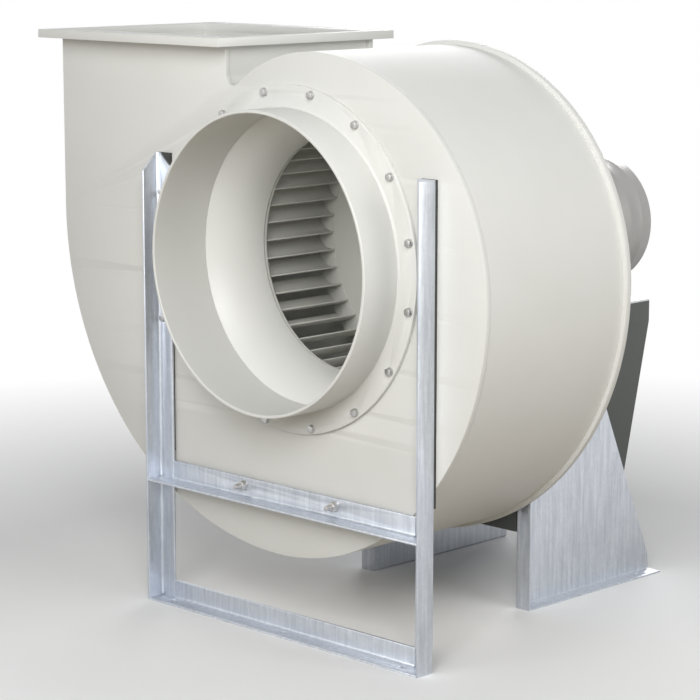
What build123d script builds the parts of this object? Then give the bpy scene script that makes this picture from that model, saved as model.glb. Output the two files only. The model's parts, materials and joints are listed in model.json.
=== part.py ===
from build123d import *
import math
import os

# Direct-driven centrifugal fan with a welded plastic scroll casing. It stands on the
# floor on a front frame of steel angle and on a rear pedestal that carries the motor.
# X is to the right as seen from the inlet, Y runs back along the shaft and Z is up.
# While it is drawn, the shaft axis is at X = 0 and the outer face of the front casing
# plate is at Y = 0. The last step moves the origin to the middle of the footprint.

# Casing, in millimetres
AXIS_HEIGHT = 705.0          # floor to shaft axis
CASE_INNER = 360.0           # clear width between the casing plates
PLATE = 12.0                 # casing side plates
WRAP = 5.0                   # scroll wrapper sheet
REAR_LIP = 8.0               # how far the rear plate stands out past the wrapper
SCROLL_RADIUS = 424.0        # second of the four scroll arcs
SCROLL_STEP = 95.0           # side of the square whose corners are the arc centres
SCROLL_SHIFT = (7.0, 5.0)    # middle of that square from the shaft axis
TONGUE_RADIUS = 20.0         # where the outlet wall meets the scroll
PLATE_BORE = 292.0           # front plate opening, which the impeller passes
HUB_OPENING = 44.0           # rear plate opening for the hub barrel

# Outlet
OUTLET_WIDTH = 470.0         # clear, along X
OUTLET_RISE = 400.0          # shaft axis to the top of the outlet flange
OUTLET_FLANGE = 16.0
FLANGE_SIDE = 24.0           # flange strip beside the duct
FLANGE_FRONT = 42.0          # flange strip in front of and behind the duct
FLANGE_PITCH = 88.0
FLANGE_HOLES = 5             # in each long strip
FLANGE_EDGE = 14.0           # hole centre to the outer edge

# Inlet
SPIGOT_RADIUS = 280.0        # outside, a DN 560 duct connection
SPIGOT_WALL = 6.0
SPIGOT_OUT = 95.0            # rim in front of the casing
SPIGOT_IN = 35.0             # tail inside the casing
SPIGOT_STEP = 1.0            # shoulder that the ring seats against
RIM_EDGE = 1.5
RING_RADIUS = 322.0
RING = 8.0
RING_SCREWS = 16
SCREW_CIRCLE = 311.0
WELD_BEAD = 4.0
THROAT_RADIUS = 227.0
THROAT_Y = 144.0
NOZZLE_WALL = 4.0

# Impeller
EYE_GAP = 5.0                # nozzle to front ring
EYE_RADIUS = 228.0
WHEEL_RADIUS = 281.0
WHEEL_RING = 6.0
BLADES = 42
BLADE_INNER = 234.0
BLADE_ARC = 45.0             # radius of the blade's camber line
BLADE_TURN = 76.0            # degrees of that arc
BLADE = 3.0
BACK_PLATE_Y = 342.0
BACK_PLATE = 10.0
BACK_STEP = 2.0              # the bladed rim of the back plate stands proud
HUB_FLANGE_RADIUS = 75.0
HUB_FLANGE = 10.0
HUB_BARREL_RADIUS = 36.0
HUB_SPIGOT_RADIUS = 30.0
HUB_FILLET = 5.0
HUB_END_GAP = 6.0            # hub barrel to the motor
HUB_BOLTS = 6
HUB_BOLT_CIRCLE = 61.0
END_WASHER_RADIUS = 26.0
END_WASHER = 5.0
END_SCREW_REACH = 25.0       # into the shaft
CAP_RADIUS = 48.0
CAP_TOP_RADIUS = 28.0
CAP_DEPTH = 28.0
CAP_SKIRT = 8.0
CAP_WALL = 3.0

# Motor, foot-mounted with a 132 mm shaft height
SHAFT_HEIGHT = 132.0
SHAFT_RADIUS = 19.0
SHAFT_REACH = 80.0
KEY_WIDTH = 10.0
KEY_HEIGHT = 8.0
KEY_PROUD = 3.0
JOURNAL_RADIUS = 20.0
CORE_SHAFT_RADIUS = 24.0
TAIL_RADIUS = 15.0           # shaft end inside the fan cowl
TAIL_GAP = 40.0              # shaft end to the back of the cowl
RUNNING_FIT = 0.05
MOTOR_Y = 432.0              # shaft shoulder and front face of the motor
FRAME_FRONT = 470.0
FRAME_REAR = 760.0
FRAME_BORE = 100.0
FRAME_RADIUS = 112.0
FIN_RADIUS = 124.0
FIN = 3.0
FIN_PITCH = 12.0             # degrees
SHIELD_RADIUS = 118.0
SHIELD_LIP = 7.0             # end wall in front of a bearing
COWL_RADIUS = 131.0
COWL_FRONT = 736.0
COWL_CORNER = 12.0
COWL_BEADS = ((825.0, 837.0), (863.0, 873.0))
COWL_BEAD = 1.0              # how far the beads stand out
COWL_VENT = 8.0
COWL_VENT_ROWS = ((38, 8), (62, 12), (86, 16))
MOTOR_END = 908.0
COWL = 2.0
CORE_FRONT = 520.0
CORE_REAR = 700.0
ROTOR_RADIUS = 68.0
AIR_GAP = 1.0
END_TURN = 28.0
BEARING_RADIUS = 45.0
BEARING = 23.0
REAR_BEARING_Y = 766.0
COOLING_FAN_RADIUS = 104.0
COOLING_HUB_RADIUS = 22.0
COOLING_FAN_LENGTH = 42.0
COOLING_VANES = 7
COOLING_SHEET = 3.0
BOX_Z = 125.0                # terminal box above the shaft axis
BOX_Y = (480.0, 610.0)
BOX_X = 62.0
BOX_HEIGHT = 50.0
BOX_WALL = 6.0
BOX_LID = 8.0
FOOT_X = 108.0
FOOT_FIRST = 89.0            # shoulder to the first foot hole
FOOT_PITCH = 178.0
FOOT = 15.0
FOOT_WIDTH = 48.0
FOOT_INSET = 6.0             # middle of the foot to its holes
FOOT_END = 26.0              # hole to the end of the foot
RIB = 14.0
RIB_HEIGHT = 72.0
RAIL = 8.0
RAIL_WIDTH = 60.0

# Front frame of equal angle
ANGLE = 40.0
ANGLE_WALL = 4.0
ANGLE_ROOT = 5.0             # radius in the corner
ANGLE_TOE = 2.0              # radius at the tips
COPE = 6.0                   # corner cut off the bars, clear of the uprights' root
FRAME_WIDTH = 728.0
UPRIGHT_TOP = 880.0
UPRIGHT_SCREW_Z = (560.0, 806.0)
UPRIGHT_SCREW_INSET = 17.5   # from the outer edge
CROSSBAR_Z = 240.0
STUD_X = 122.0
STUD_RISE = 24.0             # above the bar's underside
STUD_LENGTH = 24.0           # in front of the bar
STUD_NUT = 8.0
SPACER = 6.0                 # strip between uprights and casing
SPACER_RADIUS = 14.0
STRIP_BOTTOM = 300.0
STRIP_WIDTH = 36.0
FOOT_HOLE_X = 310.0
FOOT_HOLE_DEPTH = 21.0       # from the front edge of the bar

# Rear pedestal of folded sheet
LEG_X = 194.0                # outer face of each leg
LEG_SHEET = 3.0
LEG_FOLD = 1.5               # inside radius of the folds
LEG_FLANGE = 33.0
LEG_FRONT = 416.0
LEG_REAR = 827.0
LEG_HEEL = 33.0              # short upright edge at the back of the foot
LEG_RAKE = 0.4417            # lean of the rear edge, run over rise
LEG_TOP = 545.0
SEAT_SHEET = 4.0
SEAT_BOTTOM = 152.0
SEAT_TOP = 561.0
SEAT_REAR = 819.0
SEAT_HEEL = 41.0
SEAT_RAKE = 0.2357
ANCHOR_X = 210.5
ANCHOR_Y = (474.0, 772.0)
LEG_BOLT_YZ = ((450.0, 400.0), (450.0, 520.0), (560.0, 520.0))
BATTEN_BOLT_Z = (290.0, 400.0, 510.0)
BATTEN_WIDTH = 40.0
BATTEN_BOTTOM = 240.0

# Shaft seal
SEAL_GAP = 1.0               # round the hub barrel
SEAL_RADIUS = 70.0
SEAL_DEPTH = 9.0
SEAL_COVER = 3.0             # holder's lip in front of the felt
FELT = 4.0
SEAL_SCREW_CIRCLE = 60.0

# Fasteners: head width across flats, head height, shank radius, washer radius
M6 = (10.0, 4.0, 3.0, 6.0)
M8 = (13.0, 5.3, 4.0, 8.0)
M10 = (17.0, 6.4, 5.0, 10.0)
M12 = (19.0, 7.5, 6.0, 12.0)
M10_CLEARANCE = 5.5
WASHER = 1.6
NUT_END = 12.0               # bolt past the far side, through its nut

CASE_DEPTH = CASE_INNER + 2 * PLATE
DUCT_TOP = OUTLET_RISE - OUTLET_FLANGE
SCROLL_LEFT = SCROLL_SHIFT[0] - SCROLL_STEP / 2 - SCROLL_RADIUS - 2 * SCROLL_STEP
OUTLET_RIGHT = SCROLL_LEFT + OUTLET_WIDTH + 2 * WRAP
OUTLET_X = SCROLL_LEFT + WRAP + OUTLET_WIDTH / 2
OUTLET_Y = CASE_DEPTH / 2
WHEEL_FRONT = THROAT_Y + EYE_GAP
BLADE_FRONT = WHEEL_FRONT + WHEEL_RING
HUB_Y = BACK_PLATE_Y + BACK_PLATE
WEB_Y = BACK_PLATE_Y + BACK_STEP
FRONT_BEARING_Y = MOTOR_Y + SHIELD_LIP
SHAFT_TAIL = MOTOR_END - TAIL_GAP
MOTOR_PLATE_TOP = SEAT_TOP + SEAT_SHEET
LEG_INNER = LEG_X - LEG_SHEET
FRAME_BACK = -SPACER
FRAME_FACE = FRAME_BACK - ANGLE_WALL
FRAME_LEG = FRAME_BACK - ANGLE
AXIS = Axis((0, 0, AXIS_HEIGHT), (0, 1, 0))


def across(sketch, y0, y1, z=AXIS_HEIGHT):
    """A solid with the sketch as its front view (x right, y up from z), from y0 back to y1."""
    plane = Plane(origin=(0, y1, z), x_dir=(1, 0, 0), z_dir=(0, -1, 0))
    return extrude(plane * sketch, amount=y1 - y0)


def sideways(outline, x0, x1):
    """A solid with the outline of (y, z) points as its side view, from x0 to x1."""
    face = make_face(Polyline(*outline, close=True))
    return extrude(Plane(origin=(x0, 0, 0), x_dir=(0, 1, 0), z_dir=(1, 0, 0)) * face, amount=x1 - x0)


def slab(x0, x1, y0, y1, z0, z1):
    """A box between two corners."""
    size = (x1 - x0, y1 - y0, z1 - z0)
    return Pos((x0 + x1) / 2, (y0 + y1) / 2, (z0 + z1) / 2) * Box(*size)


def upward(outline, z0, z1):
    """A solid with the outline of (x, y) points as its plan, from z0 up to z1."""
    return extrude(Pos(0, 0, z0) * make_face(Polyline(*outline, close=True)), amount=z1 - z0)


def edges_at(body, **place):
    """The body's edges whose middle has the given coordinates."""
    return [edge for edge in body.edges()
            if all(abs(getattr(edge.center(), axis) - value) < 0.01 for axis, value in place.items())]


def turned(*outline):
    """A solid of revolution about the shaft axis from an outline of (radius, y) points."""
    face = make_face(Polyline(*outline, close=True))
    return revolve(Pos(0, 0, AXIS_HEIGHT) * face, axis=AXIS)


def tube(outer, inner, y0, y1):
    """A plain ring about the shaft axis."""
    return across(Circle(outer) - Circle(inner), y0, y1)


def rod(radius, start, along, length):
    """A round bar from a point, along a unit direction."""
    return extrude(Plane(origin=start, z_dir=along) * Circle(radius), amount=length)


def hexagon(flats, start, along, length):
    """A hexagonal bar, for screw heads and nuts."""
    section = RegularPolygon(flats / 2, 6, major_radius=False)
    return extrude(Plane(origin=start, z_dir=along) * section, amount=length)


def screw(size, seat, inward, reach, nut=0.0):
    """A hex screw with a washer under its head on the seat point, and a nut where the reach ends."""
    flats, head, radius, washer = size
    seat = Vector(*seat)
    inward = Vector(*inward)
    outward = inward * -1
    body = rod(washer, seat, outward, WASHER)
    body += hexagon(flats, seat + outward * WASHER, outward, head)
    body += rod(radius, seat, inward, reach)
    if nut:
        far = seat + inward * nut
        body += hexagon(flats, far, inward, head)
    return body


def drill(radius, start, along, length):
    """The tool that cuts a hole through a wall."""
    return rod(radius, Vector(*start) - Vector(*along), along, length + 2)


def scroll_face(inset=0.0, top=DUCT_TOP):
    """Front view of the casing: four arcs struck from the corners of a square, then the outlet duct."""
    half = SCROLL_STEP / 2
    mid_x, mid_z = SCROLL_SHIFT
    radii = [SCROLL_RADIUS + (turn - 1) * SCROLL_STEP - inset for turn in range(4)]
    right, left = mid_x + half, mid_x - half
    upper, lower = mid_z + half, mid_z - half
    wall = OUTLET_RIGHT - inset
    tongue = upper + math.sqrt(radii[0] ** 2 - (wall - right) ** 2)
    tongue_angle = math.degrees(math.atan2(tongue - upper, wall - right))
    outer_wall = left - radii[3]
    edges = [
        CenterArc((right, upper), radii[0], tongue_angle, 90 - tongue_angle),
        CenterArc((right, lower), radii[1], 90, -90),
        CenterArc((left, lower), radii[2], 0, -90),
        CenterArc((left, upper), radii[3], -90, -90),
        Line((outer_wall, upper), (outer_wall, top)),
        Line((outer_wall, top), (wall, top)),
        Line((wall, top), (wall, tongue)),
    ]
    face = make_face(Curve() + edges)
    corner = face.vertices().sort_by_distance((wall, tongue, 0))[0]
    return fillet(corner, TONGUE_RADIUS + inset)


def ring_screw_angles():
    return [(turn + 0.5) * 360 / RING_SCREWS for turn in range(RING_SCREWS)]


def around(radius, degrees, y):
    """A point at a radius and an angle about the shaft axis."""
    angle = math.radians(degrees)
    return (radius * math.cos(angle), y, AXIS_HEIGHT + radius * math.sin(angle))


def casing():
    """The scroll's two plates and wrapper, with their holes."""
    back = (0, 1, 0)
    front_plate = across(scroll_face() - Circle(PLATE_BORE), 0, PLATE)
    for degrees in ring_screw_angles():
        front_plate -= drill(M8[2], around(SCREW_CIRCLE, degrees, 0), back, PLATE)
    for x, z in upright_screw_places():
        front_plate -= drill(M8[2], (x, 0, z), back, PLATE)
    for x, z in stud_places():
        front_plate -= drill(M10[2], (x, 0, z), back, PLATE)
    sheet = scroll_face() - scroll_face(WRAP, DUCT_TOP + WRAP)
    wrapper = across(sheet, PLATE, CASE_DEPTH - PLATE)
    rear_plate = across(scroll_face(-REAR_LIP) - Circle(HUB_OPENING), CASE_DEPTH - PLATE, CASE_DEPTH)
    for x, z in batten_bolt_places():
        rear_plate -= drill(M10[2], (x, CASE_DEPTH - PLATE, z), back, PLATE)
    return {
        "scroll_front_plate": front_plate,
        "scroll_wrapper": wrapper,
        "scroll_rear_plate": rear_plate,
    }


def outlet():
    """The flange round the top of the duct, drilled along its two long strips."""
    z0 = AXIS_HEIGHT + DUCT_TOP
    z1 = AXIS_HEIGHT + OUTLET_RISE
    half_x = OUTLET_WIDTH / 2
    rim_x = half_x + WRAP + FLANGE_SIDE
    flange = slab(OUTLET_X - rim_x, OUTLET_X + rim_x, -FLANGE_FRONT, CASE_DEPTH + FLANGE_FRONT, z0, z1)
    flange -= slab(OUTLET_X - half_x, OUTLET_X + half_x, PLATE, CASE_DEPTH - PLATE, z0 - 1, z1 + 1)
    row = OUTLET_Y + FLANGE_FRONT - FLANGE_EDGE
    for side in (-1, 1):
        for place in range(FLANGE_HOLES):
            x = OUTLET_X + (place - (FLANGE_HOLES - 1) / 2) * FLANGE_PITCH
            flange -= drill(M10_CLEARANCE, (x, OUTLET_Y + side * row, z0), (0, 0, 1), OUTLET_FLANGE)
    return {"outlet_flange": flange}


def nozzle_profile():
    """Section of the inlet nozzle: two concentric arcs from the spigot's tail to the throat."""
    tail = SPIGOT_RADIUS - SPIGOT_WALL
    drop = tail - THROAT_RADIUS
    run = THROAT_Y - SPIGOT_IN
    inner = (drop ** 2 + run ** 2) / (2 * drop)
    centre = (THROAT_RADIUS + inner, THROAT_Y)
    outer = inner - NOZZLE_WALL
    start = 180 + math.degrees(math.asin(run / inner))
    outer_start = 180 + math.degrees(math.asin(run / outer))
    inner_arc = CenterArc(centre, inner, start, 180 - start)
    outer_arc = CenterArc(centre, outer, outer_start, 180 - outer_start)
    ends = [Line(inner_arc @ 0, outer_arc @ 0), Line(inner_arc @ 1, outer_arc @ 1)]
    return make_face(Curve() + [inner_arc, outer_arc] + ends)


def inlet():
    """Ring, spigot and nozzle, which come off together for the impeller, and the ring's screws."""
    bore = SPIGOT_RADIUS - SPIGOT_STEP
    ring = turned((bore, -RING - WELD_BEAD), (bore + WELD_BEAD, -RING), (RING_RADIUS - 1, -RING),
                  (RING_RADIUS, 1 - RING), (RING_RADIUS, 0), (bore, 0))
    screws = []
    for degrees in ring_screw_angles():
        place = around(SCREW_CIRCLE, degrees, -RING)
        ring -= drill(M8[2], place, (0, 1, 0), RING)
        screws.append(screw(M8, place, (0, 1, 0), RING + PLATE))
    inner, outer = SPIGOT_RADIUS - SPIGOT_WALL, SPIGOT_RADIUS
    rim = -SPIGOT_OUT
    step_y = -RING - WELD_BEAD
    spigot = turned((inner, rim + RIM_EDGE), (inner + RIM_EDGE, rim), (outer - RIM_EDGE, rim),
                    (outer, rim + RIM_EDGE), (outer, step_y), (bore, step_y), (bore, SPIGOT_IN),
                    (inner, SPIGOT_IN))
    nozzle = revolve(Pos(0, 0, AXIS_HEIGHT) * nozzle_profile(), axis=AXIS)
    return {
        "inlet_ring": ring,
        "inlet_spigot": spigot,
        "inlet_nozzle": nozzle,
        "inlet_ring_screws": screws,
    }


def blade_face():
    """Section of one forward-curved blade: a thick arc that leaves the inner edge radially."""
    centre = (BLADE_INNER, -BLADE_ARC)
    outer = CenterArc(centre, BLADE_ARC + BLADE / 2, 90, -BLADE_TURN)
    inner = CenterArc(centre, BLADE_ARC - BLADE / 2, 90, -BLADE_TURN)
    return make_face(Curve() + [outer, inner, Line(outer @ 0, inner @ 0), Line(outer @ 1, inner @ 1)])


def impeller():
    """The wheel: back plate, curved blades and front ring, with its hub on the motor shaft."""
    rim_y = BACK_PLATE_Y
    seam = BLADE_INNER + 2
    back_plate = turned((HUB_SPIGOT_RADIUS, WEB_Y), (seam, WEB_Y), (seam, rim_y), (WHEEL_RADIUS, rim_y),
                        (WHEEL_RADIUS, HUB_Y), (HUB_SPIGOT_RADIUS, HUB_Y))
    front_ring = turned((EYE_RADIUS, WHEEL_FRONT), (WHEEL_RADIUS, WHEEL_FRONT), (WHEEL_RADIUS, BLADE_FRONT),
                        (EYE_RADIUS + 2, BLADE_FRONT), (EYE_RADIUS, BLADE_FRONT - 2))
    face = blade_face()
    blades = [across(Rot(0, 0, turn * 360 / BLADES) * face, BLADE_FRONT, rim_y) for turn in range(BLADES)]

    flange_back = HUB_Y + HUB_FLANGE
    barrel_end = MOTOR_Y - HUB_END_GAP
    hub = turned((M12[2], WEB_Y), (HUB_SPIGOT_RADIUS, WEB_Y), (HUB_SPIGOT_RADIUS, HUB_Y),
                 (HUB_FLANGE_RADIUS, HUB_Y), (HUB_FLANGE_RADIUS, flange_back),
                 (HUB_BARREL_RADIUS + HUB_FILLET, flange_back), (HUB_BARREL_RADIUS, flange_back + HUB_FILLET),
                 (HUB_BARREL_RADIUS, barrel_end), (SHAFT_RADIUS, barrel_end),
                 (SHAFT_RADIUS, HUB_Y), (M12[2], HUB_Y))
    hub -= key_block()
    hub_bolts = []
    for turn in range(HUB_BOLTS):
        place = around(HUB_BOLT_CIRCLE, (turn + 0.5) * 360 / HUB_BOLTS, WEB_Y)
        back_plate -= drill(M8[2], place, (0, 1, 0), HUB_Y - WEB_Y)
        hub -= drill(M8[2], (place[0], HUB_Y, place[2]), (0, 1, 0), HUB_FLANGE)
        hub_bolts.append(screw(M8, place, (0, 1, 0), flange_back - WEB_Y))

    washer_y = WEB_Y - END_WASHER
    end_screw = screw(M12, (0, washer_y, AXIS_HEIGHT), (0, 1, 0), HUB_Y - washer_y + END_SCREW_REACH)
    end_screw += tube(END_WASHER_RADIUS, M12[2], washer_y, WEB_Y)
    return {
        "impeller_back_plate": back_plate,
        "impeller_front_ring": front_ring,
        "impeller_blades": blades,
        "impeller_hub": hub,
        "impeller_hub_bolts": hub_bolts,
        "shaft_end_screw": end_screw,
        "hub_cap": hub_cap(),
    }


def hub_cap():
    """The moulded cap that covers the end screw, flat in front with a sloping shoulder."""
    front = WEB_Y - CAP_DEPTH
    skirt = WEB_Y - CAP_SKIRT
    shoulder = CAP_TOP_RADIUS + 6
    return turned((CAP_RADIUS, WEB_Y), (CAP_RADIUS, skirt), (shoulder, front + 2), (CAP_TOP_RADIUS, front),
                  (0, front), (0, front + CAP_WALL), (CAP_TOP_RADIUS, front + CAP_WALL),
                  (shoulder - 2, front + CAP_WALL + 2), (CAP_RADIUS - CAP_WALL, skirt + 1),
                  (CAP_RADIUS - CAP_WALL, WEB_Y))


def key_block():
    """The feather key between shaft and hub."""
    top = AXIS_HEIGHT + SHAFT_RADIUS + KEY_PROUD
    return slab(-KEY_WIDTH / 2, KEY_WIDTH / 2, HUB_Y + 8, MOTOR_Y - 9, top - KEY_HEIGHT, top)


def motor_rotor():
    """What turns inside the motor, on the same shaft as the impeller."""
    nose = MOTOR_Y - SHAFT_REACH
    front_step = FRONT_BEARING_Y + BEARING
    rear_step = REAR_BEARING_Y - 2
    tail_step = REAR_BEARING_Y + BEARING + 3
    shaft = turned((0, nose), (SHAFT_RADIUS - 1, nose), (SHAFT_RADIUS, nose + 1), (SHAFT_RADIUS, MOTOR_Y),
                   (JOURNAL_RADIUS, MOTOR_Y), (JOURNAL_RADIUS, front_step), (CORE_SHAFT_RADIUS, front_step),
                   (CORE_SHAFT_RADIUS, rear_step), (JOURNAL_RADIUS, rear_step), (JOURNAL_RADIUS, tail_step),
                   (TAIL_RADIUS, tail_step), (TAIL_RADIUS, SHAFT_TAIL), (0, SHAFT_TAIL))
    shaft -= key_block()
    shaft -= rod(M12[2], (0, nose, AXIS_HEIGHT), (0, 1, 0), END_SCREW_REACH)
    rotor_core = tube(ROTOR_RADIUS, CORE_SHAFT_RADIUS, CORE_FRONT, CORE_REAR)
    hub_end = SHAFT_TAIL - COOLING_SHEET
    fan_front = hub_end - COOLING_FAN_LENGTH
    disc_back = fan_front + COOLING_SHEET
    cooling_fan = tube(COOLING_HUB_RADIUS, TAIL_RADIUS, fan_front, hub_end)
    cooling_fan += tube(COOLING_FAN_RADIUS, COOLING_HUB_RADIUS, fan_front, disc_back)
    vane_inner = COOLING_HUB_RADIUS - 4
    vane_outer = COOLING_FAN_RADIUS - 2
    vane_face = Pos((vane_inner + vane_outer) / 2, 0) * Rectangle(vane_outer - vane_inner, 2.5)
    for turn in range(COOLING_VANES):
        cooling_fan += across(Rot(0, 0, turn * 360 / COOLING_VANES) * vane_face, disc_back, hub_end - 9)
    return {
        "motor_shaft": shaft,
        "shaft_key": key_block(),
        "motor_rotor_core": rotor_core,
        "motor_cooling_fan": cooling_fan,
    }


def motor_frame():
    """The finned barrel, with the pads for the feet and the terminal box."""
    section = Circle(FRAME_RADIUS)
    fin_length = FIN_RADIUS - FRAME_RADIUS + 2
    fin = Pos(FIN_RADIUS - fin_length / 2, 0) * Rectangle(fin_length, FIN)
    for turn in range(round(360 / FIN_PITCH)):
        degrees = (turn + 0.5) * FIN_PITCH
        on_top = abs(degrees - 90) < 30
        at_feet = abs(degrees - 225) < 16 or abs(degrees - 315) < 16
        if not on_top and not at_feet:
            section += Rot(0, 0, degrees) * fin
    section -= Circle(FRAME_BORE)
    frame = across(section, FRAME_FRONT, FRAME_REAR)
    pad = Pos(0, BOX_Z - 10) * Rectangle(100, 20) - Circle(FRAME_RADIUS)
    return frame + across(pad, BOX_Y[0] + 5, BOX_Y[1] - 5)


def motor():
    """The standing parts of the motor."""
    seal_bore = JOURNAL_RADIUS + 1
    front_shield = turned((seal_bore, MOTOR_Y), (BEARING_RADIUS + 8, MOTOR_Y),
                          (BEARING_RADIUS + 14, MOTOR_Y + 12), (SHIELD_RADIUS - 14, MOTOR_Y + 20),
                          (SHIELD_RADIUS, MOTOR_Y + 30), (SHIELD_RADIUS, FRAME_FRONT),
                          (BEARING_RADIUS, FRAME_FRONT), (BEARING_RADIUS, FRONT_BEARING_Y),
                          (seal_bore, FRONT_BEARING_Y))
    journal = JOURNAL_RADIUS + RUNNING_FIT
    front_bearing = tube(BEARING_RADIUS, journal, FRONT_BEARING_Y, FRONT_BEARING_Y + BEARING)
    rear_bearing = tube(BEARING_RADIUS, journal, REAR_BEARING_Y, REAR_BEARING_Y + BEARING)
    bearing_end = REAR_BEARING_Y + BEARING
    rear_shield = turned((BEARING_RADIUS, FRAME_REAR), (SHIELD_RADIUS, FRAME_REAR),
                         (SHIELD_RADIUS, FRAME_REAR + 10), (BEARING_RADIUS + 12, bearing_end + 1),
                         (BEARING_RADIUS + 10, bearing_end + 6), (seal_bore, bearing_end + 6),
                         (seal_bore, bearing_end), (BEARING_RADIUS, bearing_end))
    cowl, cowl_screws, screw_holes = fan_cowl()
    for hole in screw_holes:
        rear_shield -= hole

    stator = tube(FRAME_BORE, ROTOR_RADIUS + AIR_GAP, CORE_FRONT, CORE_REAR)
    windings = [
        tube(FRAME_BORE - 6, ROTOR_RADIUS + 5, CORE_FRONT - END_TURN, CORE_FRONT),
        tube(FRAME_BORE - 6, ROTOR_RADIUS + 5, CORE_REAR, CORE_REAR + END_TURN),
    ]
    return {
        "motor_frame": motor_frame(),
        "motor_front_shield": front_shield,
        "motor_rear_shield": rear_shield,
        "motor_front_bearing": front_bearing,
        "motor_rear_bearing": rear_bearing,
        "motor_stator_core": stator,
        "motor_windings": windings,
        "motor_fan_cowl": cowl,
        "motor_cowl_screws": cowl_screws,
    }


def cowl_outline(radius, end):
    """One side of the cowl's section as (radius, y) points, with its two pressed beads."""
    points = [(radius, COWL_FRONT)]
    for y0, y1 in COWL_BEADS:
        crest = radius + COWL_BEAD
        points += [(radius, y0), (crest, y0 + 3), (crest, y1 - 3), (radius, y1)]
    corner = COWL_CORNER + end - MOTOR_END
    return points + [(radius, end - corner), (radius - corner, end), (0, end)]


def fan_cowl():
    """The cowl with its air holes, its four screws and the holes they need in the rear shield."""
    end_wall = MOTOR_END - COWL
    inner = COWL_RADIUS - COWL
    cowl = turned(*cowl_outline(COWL_RADIUS, MOTOR_END), *reversed(cowl_outline(inner, end_wall)))
    for radius, count in COWL_VENT_ROWS:
        for turn in range(count):
            cowl -= drill(COWL_VENT, around(radius, turn * 360 / count, end_wall), (0, 1, 0), COWL)
    screws, shield_holes = [], []
    gap = inner - SHIELD_RADIUS
    screw_y = FRAME_REAR + 5
    for turn in range(4):
        seat = Vector(*around(COWL_RADIUS, 45 + turn * 90, screw_y))
        inward = (Vector(0, screw_y, AXIS_HEIGHT) - seat).normalized()
        cowl -= rod(M6[2], seat - inward, inward, COWL + 2)
        shield_holes.append(rod(M6[2], seat + inward * COWL, inward, gap + 10))
        head = rod(M6[3], seat, inward * -1, 3)
        shank = rod(M6[2], seat, inward, COWL + gap + 8)
        sleeve = rod(M6[3] + 1, seat + inward * (COWL + 0.3), inward, gap - 0.5)
        screws.append(head + shank + sleeve)
    return cowl, screws, shield_holes


def terminal_box():
    """The box on top of the motor with its lid, screws and cable gland."""
    base = AXIS_HEIGHT + BOX_Z
    rim = base + BOX_HEIGHT
    y0, y1 = BOX_Y
    box = fillet(slab(-BOX_X, BOX_X, y0, y1, base, rim).edges().filter_by(Axis.Z), 10)
    box -= slab(-BOX_X + BOX_WALL, BOX_X - BOX_WALL, y0 + BOX_WALL, y1 - BOX_WALL, base + 5, rim + 1)
    lid = slab(-BOX_X - 3, BOX_X + 3, y0 - 3, y1 + 3, rim, rim + BOX_LID)
    lid = fillet(lid.edges().filter_by(Axis.Z), 12)
    screws = [rod(5, (x, y, rim + BOX_LID), (0, 0, 1), 3)
              for x in (12 - BOX_X, BOX_X - 12) for y in (y0 + 12, y1 - 12)]
    gland_start = Vector(-BOX_X, (y0 + y1) / 2, base + BOX_HEIGHT / 2)
    left = Vector(-1, 0, 0)
    gland = rod(14, gland_start, left, 6) + hexagon(26, gland_start + left * 6, left, 14)
    return {
        "terminal_box": box,
        "terminal_box_lid": lid,
        "terminal_box_screws": screws,
        "cable_gland": gland,
    }


def foot_places():
    """Where the motor's foot holes are, as (x, y)."""
    first = MOTOR_Y + FOOT_FIRST
    return [(side * FOOT_X, y) for side in (-1, 1) for y in (first, first + FOOT_PITCH)]


def motor_mounting():
    """Bolted feet, the bars under them and the bolts that hold the motor down."""
    sole = AXIS_HEIGHT - SHAFT_HEIGHT
    y0 = MOTOR_Y + FOOT_FIRST - FOOT_END
    y1 = MOTOR_Y + FOOT_FIRST + FOOT_PITCH + FOOT_END
    middle = FOOT_X - FOOT_INSET
    base = Pos(middle, -SHAFT_HEIGHT + FOOT / 2) * Rectangle(FOOT_WIDTH, FOOT)
    rib = Pos(middle - (FOOT_WIDTH - RIB) / 2, -SHAFT_HEIGHT + RIB_HEIGHT / 2) * Rectangle(RIB, RIB_HEIGHT)
    foot = across(base + rib - Circle(FRAME_RADIUS), y0, y1)
    half = RAIL_WIDTH / 2
    bar = slab(FOOT_X - half, FOOT_X + half, y0 - 20, y1 + 20, MOTOR_PLATE_TOP, MOTOR_PLATE_TOP + RAIL)
    plate = slab(-LEG_INNER, LEG_INNER, LEG_FRONT, SEAT_REAR, SEAT_TOP, MOTOR_PLATE_TOP)
    bolts = []
    grip = FOOT + RAIL + SEAT_SHEET
    for x, y in foot_places():
        hole = drill(M10[2], (x, y, SEAT_TOP), (0, 0, 1), grip)
        foot -= hole
        bar -= hole
        plate -= hole
        bolts.append(screw(M10, (x, y, sole + FOOT), (0, 0, -1), grip + NUT_END, grip))
    return {
        "motor_feet": [foot, mirror(foot, Plane.YZ)],
        "motor_bars": [bar, mirror(bar, Plane.YZ)],
        "motor_bolts": bolts,
        "motor_base_plate": plate,
    }


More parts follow.
